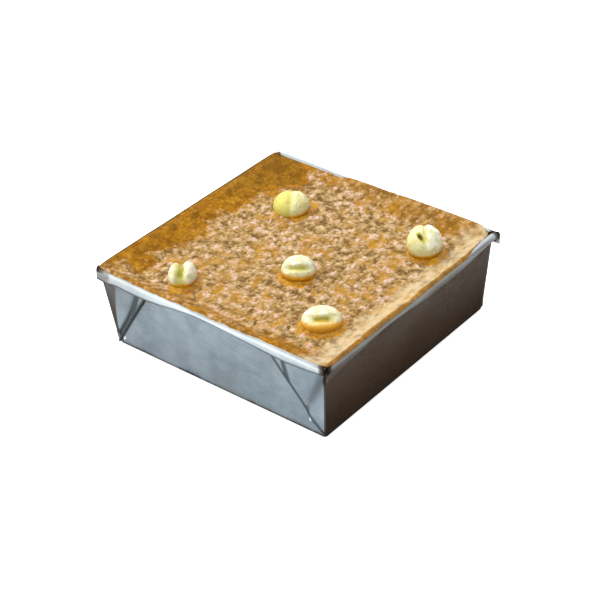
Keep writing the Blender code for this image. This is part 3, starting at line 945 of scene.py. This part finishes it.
# The amber round the seeds is partly syrup, partly painted shadow and reflected glow.
syrup = finish.mix((spots * 0.6 + relief * 0.4).rise(0.30, 0.60), SYRUP_AND_SHADOW_DARK, SYRUP_AND_SHADOW_LIGHT)
soaked = amber + (fine - 0.5) * 0.4 * amber.rise(0.0, 0.3)
colour = finish.mix(soaked.rise(0.0, 0.8), colour, syrup)
finish.feed(
    shader,
    Base_Color=colour,
    Roughness=0.62 - 0.25 * amber,
    Coat_Weight=amber * 0.4,
    Normal=finish.bump(fine * (1 - 0.7 * amber), 0.0002, 0.25),
)
custard = piece_from(bm, "custard_crust", custard_material, 80)
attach(custard, "root")
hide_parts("custard")

# Five lotus seeds, boiled soft and pressed into the custard before it baked. Each is two lobes with a cleft
# between them, green inside where the sprout was; its foot is amber, partly syrup and partly painted shadow.

SEED_AROUND = 120
SEED_ALONG = 80
SEED_TOP_CROWDING = 0.45
SEED_WRINKLE = 0.0004
CLEFT_WANDER = 0.08
CLEFT_END_FADE = 0.5
PIT_DEPTH = 0.5
HOLLOW_PLACE = Vector((-0.55, 0.20, 0.81))
HOLLOW_ALONG = Vector((-0.62, -0.45, -0.64))
HOLLOW_WIDTH = 0.14

SEED_CREAM = shade(206, 200, 148)
SEED_WHITE = shade(232, 232, 216)
SEED_YELLOW = shade(200, 192, 84)
SEED_GREEN = shade(150, 146, 44)
SEED_PIT_SHADE = shade(96, 76, 10)
SEED_SYRUP_AND_SHADE = shade(220, 168, 48)
SEED_BROWN = shade(186, 118, 14)
SEED_CLOUD_SIZE = 0.0030
SEED_FINE_SIZE = 0.0011


def seed_matrix(seed):
    middle = Vector((seed.x, seed.y, custard_level(seed.x, seed.y) + seed.lift))
    turn = Matrix.Rotation(math.radians(seed.turn), 4, "Z")
    lean = Matrix.Rotation(math.radians(seed.lean), 4, "X")
    return Matrix.Translation(middle) @ turn @ lean


def make_seed(seed, index, material):
    """A ball with its poles at the seed's ends, drawn in all along the cleft that parts its two lobes."""
    bm = bmesh.new()
    bmesh.ops.create_uvsphere(bm, u_segments=SEED_AROUND, v_segments=SEED_ALONG, radius=1)
    bmesh.ops.rotate(bm, verts=bm.verts, matrix=Matrix.Rotation(math.pi / 2, 3, "Y"))
    marks = {name: bm.verts.layers.float.new(name) for name in ("cleft", "foot", "yellow", "pit")}
    half_size = Vector((seed.length, seed.width, seed.height)) / 2
    across = Vector((0, math.cos(math.radians(seed.split)), math.sin(math.radians(seed.split))))
    for vert in bm.verts:
        around = math.atan2(vert.co.y, vert.co.z)
        radius = math.hypot(vert.co.y, vert.co.z)
        around -= SEED_TOP_CROWDING * math.sin(around)
        x, y, z = vert.co.x, radius * math.sin(around), radius * math.cos(around)
        place = Vector((x, y, z))
        wander = CLEFT_WANDER * noise.noise(Vector((x * 1.6, index * 7.0, 0)))
        aside = place.dot(across)
        cleft = hump(aside - wander, seed.cleft_width / half_size.y) * smooth_step((z + 0.75) / 0.9)
        cleft *= smooth_step((seed.cleft_reach - abs(x)) / CLEFT_END_FADE)
        to_hollow = place - HOLLOW_PLACE
        to_hollow -= HOLLOW_ALONG * to_hollow.dot(HOLLOW_ALONG) * 0.6
        pit = seed.hollow * hump(to_hollow.length, HOLLOW_WIDTH)
        place = across * aside + (place - across * aside) * (1 - seed.cleft_depth * cleft - PIT_DEPTH * pit)
        wrinkle = noise.noise(Vector((x * 1.4, y * 3.5, index * 5.0)))
        wrinkle += 0.5 * noise.noise(Vector((x * 3.0, y * 7.0, z * 5.0 + index * 3.0)))
        wrinkle = SEED_WRINKLE * min(wrinkle, 0.0 if z > 0.8 else 0.4)
        vert.co = (place.x * half_size.x, place.y * half_size.y, place.z * half_size.z + wrinkle)
        vert[marks["cleft"]] = cleft * (0.3 + 0.7 * seed.green)
        vert[marks["pit"]] = pit
        far_lobe = smooth_step(0.5 + 3 * aside)
        vert[marks["yellow"]] = seed.yellow_near + (seed.yellow_far - seed.yellow_near) * far_lobe
    bmesh.ops.transform(bm, matrix=seed_matrix(seed), verts=bm.verts)
    syrup = Vector((math.cos(math.radians(seed.syrup)), math.sin(math.radians(seed.syrup)), 0))
    for vert in bm.verts:
        above = vert.co.z - custard_level(vert.co.x, vert.co.y)
        facing = (vert.co - Vector((seed.x, seed.y, vert.co.z))).normalized().dot(syrup)
        vert[marks["foot"]] = smooth_step(1 - (above - 0.4 * seed.soak * facing) / seed.soak)
    bmesh.ops.recalc_face_normals(bm, faces=bm.faces)
    piece = piece_from(bm, seed.name + "_flesh", material, 80)
    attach(piece, "root")
    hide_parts(seed.name)


seed_material, shader, finish = principled(
    "boiled_lotus_seed", Roughness=0.45, Coat_Weight=0.08, Coat_Roughness=0.2,
    Subsurface_Weight=0.25, Subsurface_Scale=0.003,
)
cleft = finish.attribute("cleft")
foot = finish.attribute("foot")
cloud = finish.noise(SEED_CLOUD_SIZE, 3, 0.6)
fine = finish.noise(SEED_FINE_SIZE, 2)
colour = finish.mix((cloud * 0.7 + fine * 0.3).rise(0.38, 0.62), SEED_CREAM, SEED_WHITE)
colour = finish.mix(finish.attribute("yellow") * (0.5 + cloud), colour, SEED_YELLOW)
colour = finish.mix(cleft.rise(0.08, 0.6) * 0.7, colour, SEED_YELLOW)
colour = finish.mix(cleft.rise(0.5, 0.95), colour, SEED_GREEN)
# The hollow beside the cleft is yellow at its rim and dark olive inside: its own olive, deepened by painted
# shade.
pit = finish.attribute("pit")
colour = finish.mix(pit.rise(0.02, 0.15), colour, SEED_YELLOW)
colour = finish.mix(pit.rise(0.12, 0.35), colour, SEED_PIT_SHADE)
# The foot is painted amber and brown, partly syrup soaked in and partly painted shadow where the seed meets
# the custard.
soaked = foot + fine * 0.4 - 0.2
colour = finish.mix(soaked.rise(0.1, 0.6), colour, SEED_SYRUP_AND_SHADE)
colour = finish.mix(soaked.rise(0.7, 1.2), colour, SEED_BROWN)
finish.feed(shader, Base_Color=colour, Normal=finish.bump(fine + cloud, 0.00016, 0.5))
for index, seed in enumerate(SEEDS):
    make_seed(seed, index, seed_material)

# The studio is a plain pale table with a soft key light on its left. The bare metal mirrors a pale card low
# in front, dimmer ones low behind, and a room that is dark on the right, but not the table. Far off, a pale
# wall stands all round it, which only the camera sees.

FLOOR_HALF = 6.0
FLOOR_COLOUR = shade(244, 244, 243)
FLOOR_GLOW = 0.60

bm = bmesh.new()
bmesh.ops.create_grid(bm, x_segments=1, y_segments=1, size=FLOOR_HALF)
floor_material, shader, finish = principled(
    "pale_table", Roughness=0.8, Base_Color=FLOOR_COLOUR, Specular_IOR_Level=0.0,
    Emission_Color=(1, 1, 1, 1), Emission_Strength=FLOOR_GLOW,
)
floor = piece_from(bm, "table", floor_material)
floor.visible_glossy = False

WALL_RADIUS = 5.5
WALL_HEIGHT = 3.0
WALL_SUNK = 0.01
WALL_SIDES = 64

bm = bmesh.new()
bmesh.ops.create_circle(bm, segments=WALL_SIDES, radius=WALL_RADIUS)
verts, _ = grow(bm, bm.edges[:])
bmesh.ops.translate(bm, verts=verts, vec=UP * WALL_HEIGHT)
bmesh.ops.translate(bm, verts=bm.verts, vec=UP * -WALL_SUNK)
bmesh.ops.recalc_face_normals(bm, faces=bm.faces)
bmesh.ops.reverse_faces(bm, faces=bm.faces)
backdrop = piece_from(bm, "pale_backdrop", floor_material)
backdrop.visible_diffuse = False
backdrop.visible_glossy = False
backdrop.visible_shadow = False

ROOM_PALE = (1.14, 1.175, 1.16, 1)
ROOM_DARK = (0.14, 0.11, 0.09, 1)
CARD_TOP = (1.90, 1.98, 2.00, 1)
CARD_LOW = (0.43, 0.53, 0.60, 1)
CARD_BEHIND = (0.50, 0.50, 0.47, 1)
LOW_DARK = (0.110, 0.070, 0.046, 1)

world = bpy.data.worlds.new("room")
world.use_nodes = True
world.cycles.sampling_method = "NONE"
bpy.context.scene.world = world
finish = Finish(world.node_tree, "Generated")
direction = finish.node("SeparateXYZ", None, {"Vector": finish.place})
x, y, z = (Wire(finish, socket) for socket in direction.socket.node.outputs)
above = finish.mix((x * -1.0).rise(-0.80, -0.35), ROOM_DARK, ROOM_PALE)
card = finish.mix(z.rise(-0.60, -0.34), CARD_LOW, CARD_TOP)
behind = finish.mix(y.rise(0.30, 0.50) * z.rise(-0.52, -0.40), LOW_DARK, CARD_BEHIND)
behind = finish.mix(y.rise(0.76, 0.90), behind, CARD_LOW)
below = finish.mix((y * -1.0).rise(0.20, 0.50), behind, card)
room = finish.mix(z.rise(-0.08, 0.10), below, above)
background = world.node_tree.nodes["Background"]
finish.feed(background, Color=room)


def soft_light(name, azimuth, elevation, distance, size, energy):
    """An area light that faces the object, from an azimuth that is 0 in front and 270 on the left."""
    light = bpy.data.lights.new(name, "AREA")
    light.shape = "DISK"
    light.size = size
    light.energy = energy
    lamp = bpy.data.objects.new(name, light)
    turn, tilt = math.radians(azimuth), math.radians(elevation)
    away = Vector((math.sin(turn) * math.cos(tilt), -math.cos(turn) * math.cos(tilt), math.sin(tilt)))
    lamp.location = away * distance
    lamp.rotation_euler = away.to_track_quat("Z", "Y").to_euler()
    lamp.visible_glossy = False
    bpy.context.scene.collection.objects.link(lamp)


soft_light("key", azimuth=262, elevation=50, distance=1.1, size=0.7, energy=9.4)
soft_light("fill", azimuth=20, elevation=70, distance=1.4, size=1.2, energy=4.6)

# The camera stands a little over arm's length away, looking down past the near corner at the custard, and is
# tipped slightly sideways.

AZIMUTH = math.radians(39.55)
ELEVATION = math.radians(34.389)
ROLL = math.radians(-2.0885)
AIM = Vector((0.02487, -0.03124, 0.04144))
DISTANCE = 0.7634
LENS = 106.4
SENSOR = 36

camera_data = bpy.data.cameras.new("camera")
camera_data.lens = LENS
camera_data.sensor_width = SENSOR
camera = bpy.data.objects.new("camera", camera_data)
back = Vector((
    math.sin(AZIMUTH) * math.cos(ELEVATION),
    -math.cos(AZIMUTH) * math.cos(ELEVATION),
    math.sin(ELEVATION),
))
level = UP.cross(back).normalized()
upright = back.cross(level)
right = level * math.cos(ROLL) + upright * math.sin(ROLL)
up = upright * math.cos(ROLL) - level * math.sin(ROLL)
turned = Matrix((right, up, back)).transposed().to_4x4()
camera.matrix_world = Matrix.Translation(AIM + back * DISTANCE) @ turned
bpy.context.scene.collection.objects.link(camera)
bpy.context.scene.camera = camera
bpy.context.scene.view_settings.view_transform = "Standard"
